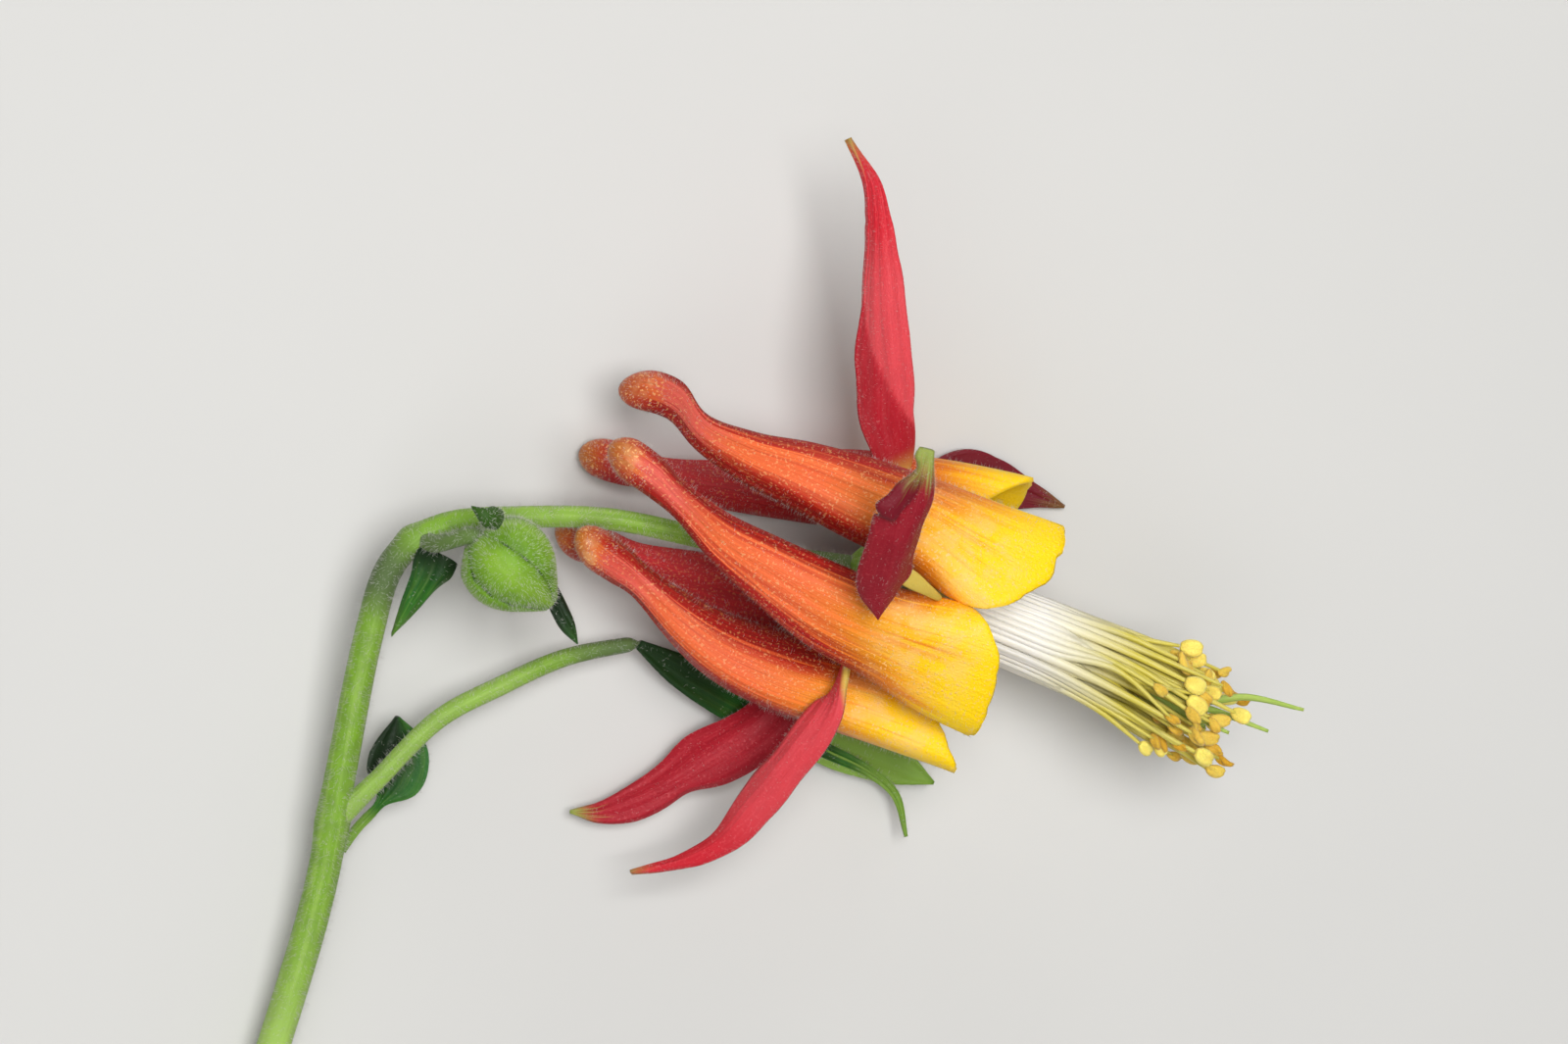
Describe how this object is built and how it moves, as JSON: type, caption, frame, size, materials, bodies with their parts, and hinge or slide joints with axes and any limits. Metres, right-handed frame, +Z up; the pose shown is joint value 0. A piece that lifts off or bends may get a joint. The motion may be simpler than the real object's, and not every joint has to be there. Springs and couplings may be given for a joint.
{
  "type": "columbine plant",
  "caption": "Cut flowering stem of a red and yellow columbine lying on a surface, with a nodding spurred bloom, a bud, small bracts and a side branch.",
  "frame": {"origin": "on the surface that the stem lies on, under the middle of the bounding box", "axes": "+Z up from the surface, +Y from the stem's cut end towards the flower's side, +X towards the open mouth of the flower"},
  "size_m": [0.069, 0.0826, 0.0242],
  "materials": {
    "stem": "satin",
    "petal": "satin",
    "sepal": "satin",
    "stamens": "matte",
    "pistils": "satin",
    "bud": "matte",
    "bract": "matte"
  },
  "bodies": {
    "root": {"stem": "stem", "petal_top_front": "petal", "petal_middle_front": "petal", "petal_bottom_front": "petal", "petal_top_back": "petal", "petal_bottom_back": "petal", "sepal_up": "sepal", "sepal_front": "sepal", "sepal_lower_front": "sepal", "sepal_lower_back": "sepal", "sepal_right_back": "sepal", "stamens": "stamens", "pistils": "pistils", "bud": "bud", "bract_upper": "bract", "bract_bud": "bract", "bract_lower": "bract", "bract_back": "bract"}
  },
  "joints": []
}
